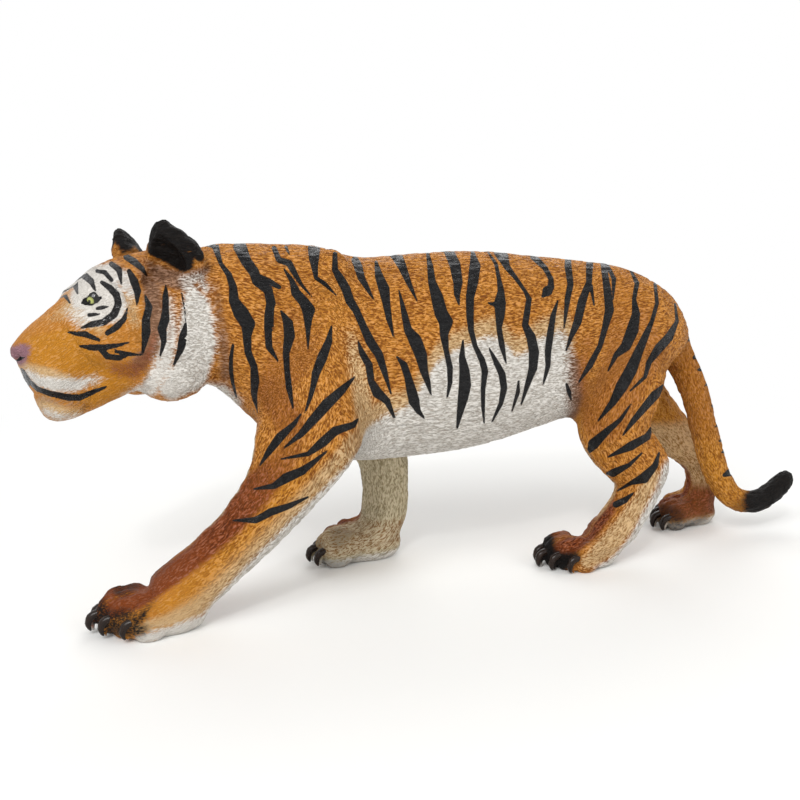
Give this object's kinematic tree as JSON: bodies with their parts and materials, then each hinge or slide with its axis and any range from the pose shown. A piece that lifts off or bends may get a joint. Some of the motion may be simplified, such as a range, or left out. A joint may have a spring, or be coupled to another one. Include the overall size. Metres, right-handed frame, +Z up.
{
  "type": "tiger figurine",
  "caption": "Walking tiger figurine moulded in one piece, head low and turned to its left, striped coat painted on, standing on flat soles.",
  "frame": {"origin": "on the ground, under the middle of the figurine's box", "axes": "+Z up, -X the way the nose points, -Y the tiger's left side"},
  "size_m": [0.2792, 0.0592, 0.1215],
  "materials": {
    "painted_vinyl_coat": "soft vinyl with a satin painted coat"
  },
  "bodies": {
    "root": {"tiger": "painted_vinyl_coat"}
  },
  "joints": []
}
